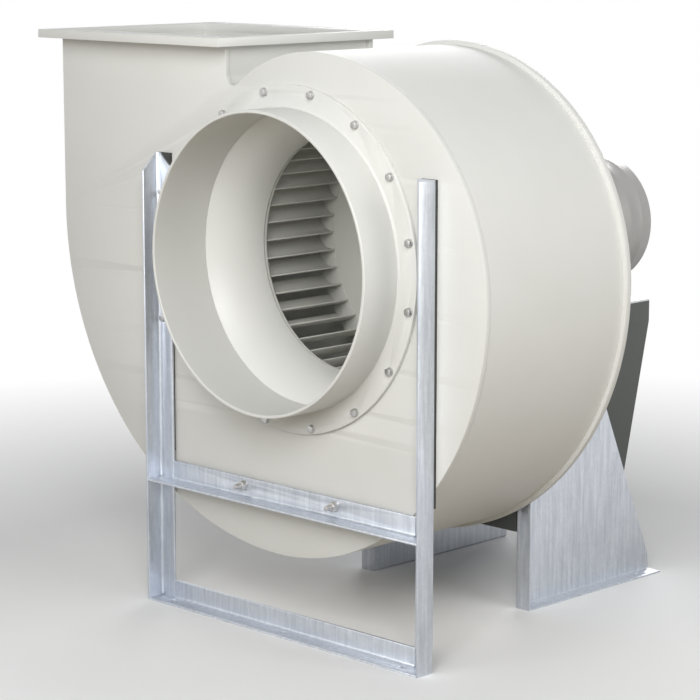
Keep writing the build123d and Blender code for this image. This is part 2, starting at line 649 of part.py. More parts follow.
def leg(side):
    """One pedestal leg: a raked side sheet with a front flange and a foot flange folded outwards."""
    run = (LEG_TOP - LEG_HEEL) * LEG_RAKE
    outline = [(LEG_FRONT, 0), (LEG_REAR, 0), (LEG_REAR, LEG_HEEL), (LEG_REAR - run, LEG_TOP),
               (LEG_FRONT, LEG_TOP)]
    outer = LEG_X + LEG_FLANGE
    flange_back = LEG_FRONT + LEG_SHEET
    body = sideways(outline, LEG_INNER, LEG_X)
    body += slab(LEG_INNER, outer, LEG_FRONT, flange_back, 0, LEG_TOP)
    body += slab(LEG_INNER, outer, LEG_FRONT, LEG_REAR, 0, LEG_SHEET)
    inside = edges_at(body, X=LEG_X, Y=flange_back) + edges_at(body, X=LEG_X, Z=LEG_SHEET)
    body = fillet(inside, LEG_FOLD)
    outside = edges_at(body, X=LEG_INNER, Y=LEG_FRONT) + edges_at(body, X=LEG_INNER, Z=0)
    body = fillet(outside, LEG_FOLD + LEG_SHEET)
    for y in ANCHOR_Y:
        body -= drill(M10_CLEARANCE, (ANCHOR_X, y, 0), (0, 0, 1), LEG_SHEET)
    for y, z in LEG_BOLT_YZ:
        body -= drill(M10[2], (LEG_INNER, y, z), (1, 0, 0), LEG_SHEET)
    for z in BATTEN_BOLT_Z:
        body -= drill(M10[2], (ANCHOR_X, LEG_FRONT, z), (0, 1, 0), LEG_SHEET)
    return body if side > 0 else mirror(body, Plane.YZ)


def seat_cheek(side):
    """One side of the motor seat, which hangs between the legs."""
    run = (SEAT_TOP - SEAT_HEEL - SEAT_BOTTOM) * SEAT_RAKE
    front = LEG_FRONT + SEAT_SHEET
    outline = [(front, SEAT_BOTTOM), (SEAT_REAR - run, SEAT_BOTTOM), (SEAT_REAR, SEAT_TOP - SEAT_HEEL),
               (SEAT_REAR, SEAT_TOP), (front, SEAT_TOP)]
    cheek = sideways(outline, LEG_INNER - SEAT_SHEET, LEG_INNER)
    for y, z in LEG_BOLT_YZ:
        cheek -= drill(M10[2], (LEG_INNER - SEAT_SHEET, y, z), (1, 0, 0), SEAT_SHEET)
    return cheek if side > 0 else mirror(cheek, Plane.YZ)


def batten_bolt_places():
    """Where the legs are bolted through the casing's rear plate, as (x, z)."""
    return [(side * ANCHOR_X, z) for side in (-1, 1) for z in BATTEN_BOLT_Z]


def pedestal():
    """The rear stand: two legs, the motor seat between them and the battens on the casing."""
    wall = slab(-LEG_INNER, LEG_INNER, LEG_FRONT, LEG_FRONT + SEAT_SHEET, SEAT_BOTTOM, SEAT_TOP)
    battens = []
    for side in (-1, 1):
        batten = slab(side * ANCHOR_X - BATTEN_WIDTH / 2, side * ANCHOR_X + BATTEN_WIDTH / 2,
                      CASE_DEPTH, LEG_FRONT, BATTEN_BOTTOM, LEG_TOP)
        for z in BATTEN_BOLT_Z:
            batten -= drill(M10[2], (side * ANCHOR_X, CASE_DEPTH, z), (0, 1, 0), LEG_FRONT - CASE_DEPTH)
        battens.append(batten)
    seat_y = LEG_FRONT + LEG_SHEET
    grip = seat_y - CASE_DEPTH + PLATE
    casing_bolts = [screw(M10, (x, seat_y, z), (0, -1, 0), grip) for x, z in batten_bolt_places()]
    leg_grip = LEG_SHEET + SEAT_SHEET
    leg_bolts = [screw(M10, (side * LEG_X, y, z), (-side, 0, 0), leg_grip + NUT_END, leg_grip)
                 for side in (-1, 1) for y, z in LEG_BOLT_YZ]
    return {
        "right_leg": leg(1),
        "left_leg": leg(-1),
        "seat_front_wall": wall,
        "right_seat_cheek": seat_cheek(1),
        "left_seat_cheek": seat_cheek(-1),
        "casing_battens": battens,
        "casing_bolts": casing_bolts,
        "leg_bolts": leg_bolts,
    }


def upright_screw_places():
    """Where the uprights are screwed to the casing, as (x, z)."""
    inset = FRAME_WIDTH / 2 - UPRIGHT_SCREW_INSET
    return [(side * inset, z) for side in (-1, 1) for z in UPRIGHT_SCREW_Z]


def stud_places():
    """Where studs hold the crossbar to the casing, as (x, z)."""
    return [(side * STUD_X, CROSSBAR_Z + STUD_RISE) for side in (-1, 1)]


def angle_section():
    """Section of the rolled angle: heel at the origin, one leg to the right, the other up."""
    tip, wall = ANGLE, ANGLE_WALL
    outline = [(0, 0), (tip, 0), (tip, wall), (wall, wall), (wall, tip), (0, tip)]
    section = make_face(Polyline(*outline, close=True))
    section = fillet(section.vertices().sort_by_distance((wall, wall, 0))[0], ANGLE_ROOT)
    toes = [section.vertices().sort_by_distance(corner)[0] for corner in ((tip, wall, 0), (wall, tip, 0))]
    return fillet(toes, ANGLE_TOE)


def upright(side):
    """One upright, with its second leg pointing forward at the outer edge."""
    outer = FRAME_WIDTH / 2
    body = extrude(Pos(outer, FRAME_BACK) * Rot(0, 0, 180) * angle_section(), amount=UPRIGHT_TOP)
    for x, z in upright_screw_places():
        body -= drill(M8[2], (x, FRAME_FACE, z), (0, 1, 0), ANGLE_WALL)
    if side > 0:
        return body
    body = mirror(body, Plane.YZ)
    above = UPRIGHT_TOP + 1
    nose = [(FRAME_LEG - 1, UPRIGHT_TOP - 35), (FRAME_FACE, above), (FRAME_LEG - 1, above)]
    body -= sideways(nose, -outer - 1, -outer + ANGLE_WALL + 0.5)
    inner = ANGLE - outer + 1
    corner = make_face(Polyline((-outer + 10, 1), (inner, 1), (inner, -27), close=True))
    body -= across(corner, FRAME_FACE - ANGLE_ROOT, FRAME_BACK + 1, UPRIGHT_TOP)
    return body


def crossing_bar(z):
    """A bar of angle between the uprights, its flat leg forward at the bottom, coped at both ends."""
    end = FRAME_WIDTH / 2 - ANGLE_WALL
    shoulder = FRAME_WIDTH / 2 - ANGLE
    flat_top = z + ANGLE_WALL
    above = z + ANGLE + 1
    section = Pos(FRAME_BACK, z) * Rot(0, 0, 90) * angle_section()
    bar = extrude(Plane(origin=(-end, 0, 0), x_dir=(0, 1, 0), z_dir=(1, 0, 0)) * section, amount=2 * end)
    cope = slab(shoulder, end + 1, FRAME_LEG - 1, FRAME_BACK + 1, flat_top, above)
    cope += slab(shoulder, end + 1, FRAME_FACE, FRAME_BACK + 1, z - 1, above)
    corner = [(end - COPE - 1, FRAME_FACE + 1), (end + 1, FRAME_FACE + 1), (end + 1, FRAME_FACE - COPE - 1)]
    cope += upward(corner, z - 1, flat_top + 1)
    return bar - cope - mirror(cope, Plane.YZ)


def front_frame():
    """The welded front stand and the strips and screws between it and the casing."""
    crossbar = crossing_bar(CROSSBAR_Z)
    bottom_bar = crossing_bar(0)
    for x in (-FOOT_HOLE_X, 0, FOOT_HOLE_X):
        place = (x, FRAME_LEG + FOOT_HOLE_DEPTH, 0)
        bottom_bar -= drill(M10_CLEARANCE, place, (0, 0, 1), ANGLE_WALL)
    back = (0, 1, 0)
    studs, stud_spacers = [], []
    for x, z in stud_places():
        crossbar -= drill(M10[2], (x, FRAME_FACE, z), back, ANGLE_WALL)
        stud_spacers.append(rod(SPACER_RADIUS, (x, FRAME_BACK, z), back, SPACER)
                            - drill(M10[2], (x, FRAME_BACK, z), back, SPACER))
        seat = Vector(x, FRAME_FACE, z)
        nut_seat = seat - Vector(0, WASHER, 0)
        stud = rod(M10[3], seat, (0, -1, 0), WASHER) + hexagon(M10[0], nut_seat, (0, -1, 0), STUD_NUT)
        reach = STUD_LENGTH + ANGLE_WALL + SPACER + PLATE
        studs.append(stud + rod(M10[2], seat - Vector(0, STUD_LENGTH, 0), back, reach))
    outer = FRAME_WIDTH / 2
    strip = slab(outer - STRIP_WIDTH, outer, FRAME_BACK, 0, STRIP_BOTTOM, UPRIGHT_TOP)
    upright_screws = []
    for x, z in upright_screw_places():
        strip -= drill(M8[2], (x, FRAME_BACK, z), back, SPACER)
        upright_screws.append(screw(M8, (x, FRAME_FACE, z), back, ANGLE_WALL + SPACER + PLATE))
    return {
        "left_upright": upright(-1),
        "right_upright": upright(1),
        "crossbar": crossbar,
        "bottom_bar": bottom_bar,
        "upright_strips": [strip, mirror(strip, Plane.YZ)],
        "upright_screws": upright_screws,
        "crossbar_studs": studs,
        "crossbar_spacers": stud_spacers,
    }


def shaft_seal():
    """A felt seal on the casing's rear plate, with a running gap round the hub barrel."""
    y0 = CASE_DEPTH
    y1 = y0 + SEAL_DEPTH
    bore = HUB_BARREL_RADIUS + SEAL_GAP
    felt_end = y1 - SEAL_COVER
    holder = turned((bore + FELT, felt_end), (bore, felt_end), (bore, y1), (SEAL_RADIUS, y1),
                    (SEAL_RADIUS, y0), (bore + FELT, y0))
    felt = tube(bore + FELT, bore, y0, felt_end)
    screws = []
    for turn in range(4):
        place = around(SEAL_SCREW_CIRCLE, 45 + turn * 90, y1)
        holder -= drill(M6[2], (place[0], y0, place[2]), (0, 1, 0), SEAL_DEPTH)
        screws.append(screw(M6, place, (0, -1, 0), SEAL_DEPTH))
    return {
        "shaft_seal_holder": holder,
        "shaft_seal_felt": felt,
        "shaft_seal_screws": screws,
    }


def main():
    parts = {}
    for group in (casing, outlet, inlet, impeller, motor_rotor, motor, terminal_box, motor_mounting,
                  shaft_seal, pedestal, front_frame):
        parts.update(group())
    shapes = {name: Compound(children=list(part)) if isinstance(part, list) else part
              for name, part in parts.items()}
    box = Compound(children=[Part() + shape for shape in shapes.values()]).bounding_box()
    print("lowest", box.min, "highest", box.max)
    shift = Pos(-box.center().X, -box.center().Y, 0)
    os.makedirs("parts", exist_ok=True)
    for name, shape in shapes.items():
        export_step(shift * shape, f"parts/{name}.step")


main()
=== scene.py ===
import json
import math

import bmesh
import bpy
from mathutils import Matrix, Vector

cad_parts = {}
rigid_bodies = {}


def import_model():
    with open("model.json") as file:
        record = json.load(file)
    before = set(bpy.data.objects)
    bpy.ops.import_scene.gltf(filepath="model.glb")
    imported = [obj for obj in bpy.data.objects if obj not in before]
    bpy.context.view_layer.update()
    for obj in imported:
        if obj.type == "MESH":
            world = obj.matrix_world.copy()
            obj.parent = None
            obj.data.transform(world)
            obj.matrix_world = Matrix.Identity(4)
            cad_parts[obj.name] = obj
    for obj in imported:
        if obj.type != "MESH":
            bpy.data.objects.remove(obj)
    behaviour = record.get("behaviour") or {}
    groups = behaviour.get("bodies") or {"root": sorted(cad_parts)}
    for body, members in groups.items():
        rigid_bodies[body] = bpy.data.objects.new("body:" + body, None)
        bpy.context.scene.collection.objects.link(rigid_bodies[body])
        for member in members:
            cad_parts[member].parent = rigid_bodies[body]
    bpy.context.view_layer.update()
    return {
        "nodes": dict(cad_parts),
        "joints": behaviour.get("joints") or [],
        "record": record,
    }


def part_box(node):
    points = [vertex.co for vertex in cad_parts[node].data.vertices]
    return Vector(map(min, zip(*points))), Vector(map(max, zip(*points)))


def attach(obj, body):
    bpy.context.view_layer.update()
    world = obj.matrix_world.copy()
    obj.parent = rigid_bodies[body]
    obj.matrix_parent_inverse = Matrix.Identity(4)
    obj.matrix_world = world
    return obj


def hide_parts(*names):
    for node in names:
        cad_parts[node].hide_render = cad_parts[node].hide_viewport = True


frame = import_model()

nodes = frame["nodes"]
body_of_node = {name: body for body, names in frame["record"]["behaviour"]["bodies"].items() for name in names}
slot_of_node = {row["node"]: row["material_slot"] for row in frame["record"]["subparts"]}

# Places and sizes, in metres
AXIS_X, AXIS_Z = frame["joints"][0]["pos_m"][0], frame["joints"][0]["pos_m"][2]
PLATE_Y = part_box("scroll_front_plate")[0].y      # outer face of the front casing plate
REAR_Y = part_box("scroll_rear_plate")[1].y
PLATE = 0.012
WRAP = 0.005
REAR_LIP = 0.008
SCROLL_RADIUS = 0.424
SCROLL_STEP = 0.095
SCROLL_SHIFT = (0.007, 0.005)
TONGUE_RADIUS = 0.020
DUCT_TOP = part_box("outlet_flange")[0].z - AXIS_Z
SCROLL_LEFT = SCROLL_SHIFT[0] - SCROLL_STEP / 2 - SCROLL_RADIUS - 2 * SCROLL_STEP
OUTLET_RIGHT = SCROLL_LEFT + 0.480
PLATE_BORE = 0.292
HUB_OPENING = 0.044
SPIGOT_RADIUS = 0.280
SPIGOT_WALL = 0.006
SPIGOT_OUT = 0.095
SPIGOT_IN = 0.035
RING_RADIUS = 0.322
RING = 0.008
RING_SCREWS = 16
SCREW_CIRCLE = 0.311
THROAT_RADIUS = 0.227
THROAT_Y = 0.144
NOZZLE_WALL = 0.004
BLADES = 42
BLADE_INNER = 0.234
BLADE_ARC = 0.045
BLADE_TURN = 76.0
BLADE = 0.003
COWL_RADIUS = 0.131


# Materials

def shader(name):
    """A new material with its Principled shader and its node tree."""
    material = bpy.data.materials.new(name)
    material.use_nodes = True
    tree = material.node_tree
    return material, tree, tree.nodes["Principled BSDF"]


def place_in_object(tree, stretch=(1, 1, 1)):
    """Object coordinates, stretched along the axes."""
    where = tree.nodes.new("ShaderNodeTexCoord")
    mapping = tree.nodes.new("ShaderNodeMapping")
    mapping.inputs["Scale"].default_value = stretch
    tree.links.new(where.outputs["Object"], mapping.inputs["Vector"])
    return mapping.outputs["Vector"]


def noise(tree, vector, scale, detail=4.0, roughness=0.55):
    node = tree.nodes.new("ShaderNodeTexNoise")
    node.inputs["Scale"].default_value = scale
    node.inputs["Detail"].default_value = detail
    node.inputs["Roughness"].default_value = roughness
    tree.links.new(vector, node.inputs["Vector"])
    return node.outputs["Fac"]


def ramp(tree, value, low, high, from_low=0.3, from_high=0.7):
    """Maps a value to a range."""
    node = tree.nodes.new("ShaderNodeMapRange")
    node.inputs["From Min"].default_value = from_low
    node.inputs["From Max"].default_value = from_high
    node.inputs["To Min"].default_value = low
    node.inputs["To Max"].default_value = high
    tree.links.new(value, node.inputs["Value"])
    return node.outputs["Result"]


def blend_colours(tree, factor, first, second):
    node = tree.nodes.new("ShaderNodeMix")
    node.data_type = "RGBA"
    for socket, colour in ((node.inputs[6], first), (node.inputs[7], second)):
        if isinstance(colour, tuple):
            socket.default_value = (*colour, 1)
        else:
            tree.links.new(colour, socket)
    tree.links.new(factor, node.inputs[0])
    return node.outputs[2]


def bump(tree, height, strength, distance):
    node = tree.nodes.new("ShaderNodeBump")
    node.inputs["Strength"].default_value = strength
    node.inputs["Distance"].default_value = distance
    tree.links.new(height, node.inputs["Height"])
    return node.outputs["Normal"]


def sheet_plastic(name, colour, dull, rough=0.34):
    """Extruded plastic sheet: an even tone with faint clouds, scuffs and the roller's fine grain."""
    material, tree, surface = shader(name)
    vector = place_in_object(tree)
    clouds = noise(tree, vector, 5.0, 5.0)
    grain = noise(tree, vector, 900.0, 2.0)
    scuffs = noise(tree, place_in_object(tree, (14, 90, 30)), 3.0, 6.0, 0.7)
    tone = blend_colours(tree, ramp(tree, clouds, 0, 1), colour, dull)
    worn = blend_colours(tree, ramp(tree, scuffs, 0, 0.10, 0.60, 0.78), tone, (0.62, 0.61, 0.56))
    tree.links.new(worn, surface.inputs["Base Color"])
    tree.links.new(ramp(tree, scuffs, rough, rough + 0.16), surface.inputs["Roughness"])
    tree.links.new(bump(tree, grain, 0.10, 0.0003), surface.inputs["Normal"])
    surface.inputs["Specular IOR Level"].default_value = 0.5
    surface.inputs["Subsurface Weight"].default_value = 0.0
    return material


def zinc(name, light, dark, streak=(40, 40, 3), rough=0.36, metal=0.85):
    """Galvanised steel: crystal patches, drip streaks down the sheet and small white spots."""
    material, tree, surface = shader(name)
    vector = place_in_object(tree)
    crystals = tree.nodes.new("ShaderNodeTexVoronoi")
    crystals.inputs["Scale"].default_value = 150.0
    crystals.inputs["Randomness"].default_value = 1.0
    warped = tree.nodes.new("ShaderNodeVectorMath")
    warped.operation = "ADD"
    wobble = tree.nodes.new("ShaderNodeTexNoise")
    wobble.inputs["Scale"].default_value = 60.0
    tree.links.new(vector, wobble.inputs["Vector"])
    soften = tree.nodes.new("ShaderNodeVectorMath")
    soften.operation = "SCALE"
    soften.inputs["Scale"].default_value = 0.02
    tree.links.new(wobble.outputs["Color"], soften.inputs[0])
    tree.links.new(vector, warped.inputs[0])
    tree.links.new(soften.outputs[0], warped.inputs[1])
    tree.links.new(warped.outputs[0], crystals.inputs["Vector"])
    shade = tree.nodes.new("ShaderNodeSeparateColor")
    tree.links.new(crystals.outputs["Color"], shade.inputs["Color"])
    streaks = noise(tree, place_in_object(tree, streak), 3.0, 6.0, 0.65)
    clouds = noise(tree, vector, 9.0, 4.0)
    tone = blend_colours(tree, ramp(tree, streaks, 0, 1, 0.35, 0.72), light, dark)
    patch = blend_colours(tree, ramp(tree, shade.outputs[0], 0.0, 0.28, 0, 1), tone, dark)
    cloudy = blend_colours(tree, ramp(tree, clouds, 0, 0.35), patch, light)
    tree.links.new(cloudy, surface.inputs["Base Color"])
    surface.inputs["Metallic"].default_value = metal
    tree.links.new(ramp(tree, shade.outputs[1], rough - 0.06, rough + 0.10, 0, 1), surface.inputs["Roughness"])
    tree.links.new(bump(tree, streaks, 0.15, 0.001), surface.inputs["Normal"])
    return material


def paint(name, colour, worn, rough=0.4, scale=7.0, metal=0.0, peel=260.0):
    """Sprayed paint with orange peel and faint dusty patches."""
    material, tree, surface = shader(name)
    vector = place_in_object(tree)
    dust = noise(tree, vector, scale, 6.0, 0.6)
    tone = blend_colours(tree, ramp(tree, dust, 0, 1, 0.35, 0.75), colour, worn)
    tree.links.new(tone, surface.inputs["Base Color"])
    surface.inputs["Metallic"].default_value = metal
    tree.links.new(ramp(tree, dust, rough, rough + 0.15), surface.inputs["Roughness"])
    tree.links.new(bump(tree, noise(tree, vector, peel, 2.0), 0.12, 0.0004), surface.inputs["Normal"])
    return material


def turned_metal(name, colour, dark, rough=0.3, along=(60, 2, 60)):
    """Bright machined metal with fine lines."""
    material, tree, surface = shader(name)
    lines = noise(tree, place_in_object(tree, along), 12.0, 3.0)
    tone = blend_colours(tree, ramp(tree, lines, 0, 1), colour, dark)
    tree.links.new(tone, surface.inputs["Base Color"])
    surface.inputs["Metallic"].default_value = 1.0
    tree.links.new(ramp(tree, lines, rough, rough + 0.12), surface.inputs["Roughness"])
    tree.links.new(bump(tree, lines, 0.06, 0.0002), surface.inputs["Normal"])
    return material


def soft_black(name, colour, light, scale=500.0, rough=0.6):
    """Rubber, felt or moulded black plastic with a fine matt grain."""
    material, tree, surface = shader(name)
    vector = place_in_object(tree)
    grain = noise(tree, vector, scale, 3.0)
    tone = blend_colours(tree, ramp(tree, grain, 0, 1), colour, light)
    tree.links.new(tone, surface.inputs["Base Color"])
    surface.inputs["Roughness"].default_value = rough
    tree.links.new(bump(tree, grain, 0.3, 0.0005), surface.inputs["Normal"])
    return material


MATERIALS = {
    "casing_plastic": sheet_plastic("casing plastic", (0.745, 0.745, 0.715), (0.715, 0.715, 0.680)),
    # The wheel is the same plastic as the casing; its darker colours here are painted shade for the wheel's place
    # inside the casing.
    "wheel_plastic": sheet_plastic("wheel plastic", (0.60, 0.60, 0.56), (0.56, 0.56, 0.52), 0.4),
    "galvanised_steel": zinc("galvanised steel", (0.70, 0.73, 0.78), (0.46, 0.49, 0.54)),
    "plate_steel": zinc("zinc plate", (0.74, 0.75, 0.76), (0.62, 0.63, 0.64), (8, 8, 8)),
    "seat_paint": paint("seat paint", (0.055, 0.065, 0.060), (0.085, 0.095, 0.088), 0.32),
    "motor_paint": paint("motor paint", (0.42, 0.41, 0.40), (0.37, 0.36, 0.35), 0.30, metal=0.6),
    "fastener_steel": turned_metal("fastener steel", (0.62, 0.61, 0.60), (0.42, 0.41, 0.40)),
    "machined_steel": turned_metal("machined steel", (0.60, 0.60, 0.60), (0.48, 0.48, 0.48)),
    "cast_iron": paint("cast iron", (0.14, 0.14, 0.15), (0.20, 0.19, 0.18), 0.55, peel=420.0),
    "copper": turned_metal("copper", (0.55, 0.24, 0.11), (0.40, 0.16, 0.07), 0.35, (3, 60, 3)),
    "black_plastic": soft_black("black plastic", (0.020, 0.020, 0.020), (0.035, 0.035, 0.035), 700.0, 0.45),
    "felt": soft_black("felt", (0.20, 0.19, 0.17), (0.28, 0.27, 0.25), 1500.0, 0.95),
    "strip_rubber": soft_black("strip rubber", (0.030, 0.030, 0.028), (0.050, 0.050, 0.048), 600.0, 0.7),
}


# Making pieces

def finish_piece(name, mesh, node, slot=None, smooth=35.0, bevel=0.0, replaced=True, body=None):
    """Adds a mesh to the scene with its material, rides it on its body and lets it stand for its node."""
    piece = bpy.data.objects.new(name, mesh)
    bpy.context.scene.collection.objects.link(piece)
    mesh.materials.clear()
    slot = slot or slot_of_node[node]
    mesh.materials.append(MATERIALS[slot])
    if bevel:
        edge = piece.modifiers.new("edge", "BEVEL")
        edge.width = bevel
        edge.segments = 2
        edge.limit_method = "ANGLE"
        edge.angle_limit = math.radians(35)
        edge.use_clamp_overlap = True
        flat = bpy.data.meshes.new_from_object(piece.evaluated_get(bpy.context.evaluated_depsgraph_get()))
        piece.modifiers.clear()
        piece.data = flat
    shade(piece, smooth)
    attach(piece, body or body_of_node[node])
    if replaced:
        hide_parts(node)
    return piece


def shade(piece, degrees):
    """Smooth shading that keeps edges sharper than the angle."""
    mesh = piece.data
    mesh.polygons.foreach_set("use_smooth", [True] * len(mesh.polygons))
    work = bmesh.new()
    work.from_mesh(mesh)
    limit = math.radians(degrees)
    for edge in work.edges:
        edge.smooth = len(edge.link_faces) == 2 and edge.calc_face_angle(0.0) < limit
    work.to_mesh(mesh)
    work.free()


def dress(node, bevel=0.0006, smooth=35.0):
    """The CAD node's own mesh with its edges eased."""
    mesh = nodes[node].data.copy()
    work = bmesh.new()
    work.from_mesh(mesh)
    bmesh.ops.remove_doubles(work, verts=work.verts, dist=1e-6)
    bmesh.ops.dissolve_limit(work, angle_limit=math.radians(1.0), verts=work.verts, edges=work.edges)
    work.to_mesh(mesh)
    work.free()
    return finish_piece("dressed_" + node, mesh, node, bevel=bevel, smooth=smooth)


def lathe(name, node, profile, steps=240, smooth=40.0):
    """A closed outline of (radius, y) points turned about the shaft axis; y runs from the front plate."""
    mesh = bpy.data.meshes.new(name)
    work = bmesh.new()
    rings = []
    for step in range(steps):
        angle = 2 * math.pi * step / steps
        along = (math.cos(angle), math.sin(angle))
        rings.append([work.verts.new((AXIS_X + r * along[0], PLATE_Y + y, AXIS_Z + r * along[1])) for r, y in profile])
    count = len(profile)
    for step in range(steps):
        here, after = rings[step], rings[(step + 1) % steps]
        for i in range(count):
            j = (i + 1) % count
            work.faces.new((here[i], here[j], after[j], after[i]))
    bmesh.ops.remove_doubles(work, verts=work.verts, dist=1e-6)
    bmesh.ops.recalc_face_normals(work, faces=work.faces)
    work.to_mesh(mesh)
    work.free()
    return finish_piece(name, mesh, node, smooth=smooth)


def eased(points, radius=0.0008):
    """A closed outline with each corner cut by a small flat."""
    result = []
    count = len(points)
    for i in range(count):
        corner = Vector(points[i])
        for other in (Vector(points[i - 1]), Vector(points[(i + 1) % count])):
            reach = min(radius, (other - corner).length / 3)
            result.append(tuple(corner + (other - corner).normalized() * reach))
    return result


def scroll_outline(inset=0.0, top=None, step=2.0):
    """Points of the casing's front view about the shaft axis: four arcs, then the outlet duct."""
    top = DUCT_TOP if top is None else top
    half = SCROLL_STEP / 2
    right, left = SCROLL_SHIFT[0] + half, SCROLL_SHIFT[0] - half
    upper, lower = SCROLL_SHIFT[1] + half, SCROLL_SHIFT[1] - half
    radii = [SCROLL_RADIUS + (turn - 1) * SCROLL_STEP - inset for turn in range(4)]
    wall = OUTLET_RIGHT - inset
    bend = TONGUE_RADIUS + inset
    reach = radii[0] + bend
    bend_x = wall + bend
    bend_z = upper + math.sqrt(reach ** 2 - (bend_x - right) ** 2)
    tongue = math.degrees(math.atan2(bend_z - upper, bend_x - right))
    points = arc((bend_x, bend_z), bend, 180, 180 + tongue, step * 4)
    points += arc((right, upper), radii[0], tongue, 90, step)
    points += arc((right, lower), radii[1], 90, 0, step)
    points += arc((left, lower), radii[2], 0, -90, step)
    points += arc((left, upper), radii[3], -90, -180, step)
    points += [(left - radii[3], top), (wall, top)]
    return points


def arc(centre, radius, start, end, step=3.0):
    """Points of an arc, with angles in degrees."""
    count = max(2, round(abs(end - start) / step) + 1)
    angles = [math.radians(start + (end - start) * i / (count - 1)) for i in range(count)]
    return [(centre[0] + radius * math.cos(a), centre[1] + radius * math.sin(a)) for a in angles]


def circle(radius, centre=(0.0, 0.0), count=180):
    return [(centre[0] + radius * math.cos(2 * math.pi * i / count),
             centre[1] + radius * math.sin(2 * math.pi * i / count)) for i in range(count)]


def plate(name, node, outlines, y0, y1, edge=0.0006, smooth=30.0):
    """A flat plate across the shaft: the first outline is its rim and the others are holes."""
    curve = bpy.data.curves.new(name, "CURVE")
    curve.dimensions = "2D"
    curve.fill_mode = "BOTH"
    curve.extrude = (y1 - y0) / 2 - edge
    curve.bevel_depth = edge
    curve.bevel_resolution = 1
    curve.offset = -edge
    for outline in outlines:
        spline = curve.splines.new("POLY")
        spline.points.add(len(outline) - 1)
        for point, (x, z) in zip(spline.points, outline):
            point.co = (x, z, 0, 1)
        spline.use_cyclic_u = True
    holder = bpy.data.objects.new(name + "_outline", curve)
    bpy.context.scene.collection.objects.link(holder)
    bpy.context.view_layer.update()
    mesh = bpy.data.meshes.new_from_object(holder.evaluated_get(bpy.context.evaluated_depsgraph_get()))
    bpy.data.objects.remove(holder)
    place = Matrix.Translation((AXIS_X, PLATE_Y + (y0 + y1) / 2, AXIS_Z)) @ Matrix.Rotation(math.pi / 2, 4, "X")
    mesh.transform(place)
    work = bmesh.new()
    work.from_mesh(mesh)
    bmesh.ops.remove_doubles(work, verts=work.verts, dist=1e-6)
    bmesh.ops.recalc_face_normals(work, faces=work.faces)
    work.to_mesh(mesh)
    work.free()
    return finish_piece(name, mesh, node, smooth=smooth)


def around(radius, degrees):
    """A point about the shaft axis in the front view."""
    angle = math.radians(degrees)
    return (radius * math.cos(angle), radius * math.sin(angle))


# The casing

DEPTH = REAR_Y - PLATE_Y


def casing():
    ring_holes = [circle(0.004, around(SCREW_CIRCLE, (k + 0.5) * 360 / RING_SCREWS), 16) for k in range(RING_SCREWS)]
    plate("front_plate", "scroll_front_plate", [scroll_outline(), circle(PLATE_BORE)] + ring_holes, 0, PLATE)
    plate("rear_plate", "scroll_rear_plate", [scroll_outline(-REAR_LIP), circle(HUB_OPENING, count=60)],
          DEPTH - PLATE, DEPTH)
    outer, inner = scroll_outline(), scroll_outline(WRAP)
    wrapper("wrapper", outer, inner, PLATE, DEPTH - PLATE)
    dress("outlet_flange", 0.0008)


def wrapper(name, outer, inner, y0, y1):
    """The bent sheet between the plates, open at the outlet."""
    mesh = bpy.data.meshes.new(name)
    work = bmesh.new()
    loops = []
    for outline, y in ((outer, y0), (outer, y1), (inner, y1), (inner, y0)):
        loops.append([work.verts.new((AXIS_X + x, PLATE_Y + y, AXIS_Z + z)) for x, z in outline])
    count = len(outer)
    for i in range(count):
        j = (i + 1) % count
        if i == count - 2:
            continue
        for a, b in ((0, 1), (1, 2), (2, 3), (3, 0)):
            work.faces.new((loops[a][i], loops[a][j], loops[b][j], loops[b][i]))
    for end in (count - 2, count - 1):
        work.faces.new([loops[k][end] for k in range(4)])
    bmesh.ops.recalc_face_normals(work, faces=work.faces)
    work.to_mesh(mesh)
    work.free()
    finish_piece(name, mesh, "scroll_wrapper", smooth=30.0)


def inlet():
    outer, inner = SPIGOT_RADIUS, SPIGOT_RADIUS - SPIGOT_WALL
    rim = -SPIGOT_OUT
    spigot = [(inner, rim), (outer, rim), (outer, -RING - 0.004), (outer - 0.001, -RING - 0.004),
              (outer - 0.001, SPIGOT_IN), (inner, SPIGOT_IN)]
    lathe("spigot", "inlet_spigot", eased(spigot, 0.0012), 288)
    drop = inner - THROAT_RADIUS
    run = THROAT_Y - SPIGOT_IN
    curve = (drop ** 2 + run ** 2) / (2 * drop)
    centre = (THROAT_RADIUS + curve, THROAT_Y)
    start = 180 + math.degrees(math.asin(run / curve))
    wall = curve - NOZZLE_WALL
    wall_start = 180 + math.degrees(math.asin(run / wall))
    nozzle = arc(centre, curve, start, 180, 1.5) + arc(centre, wall, 180, wall_start, 1.5)
    lathe("nozzle", "inlet_nozzle", nozzle, 288)
    dress("inlet_ring", 0.0007)
    dress("inlet_ring_screws", 0.0005)


def wheel():
    dress("impeller_back_plate", 0.0006)
    dress("impeller_front_ring", 0.0006)
    dress("impeller_blades", 0.0004)
    dress("impeller_hub", 0.0006)
    dress("impeller_hub_bolts", 0.0005)
    dress("hub_cap", 0.001)


def rest():
    done = {piece["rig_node"] for piece in bpy.data.objects if "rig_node" in piece}
    for node in nodes:
        if node not in replaced and node not in done:
            if node in BEVELS:
                dress(node, BEVELS[node])
            else:
                nodes[node].data.materials.clear()
                nodes[node].data.materials.append(MATERIALS[slot_of_node[node]])
                shade(nodes[node], 35.0)


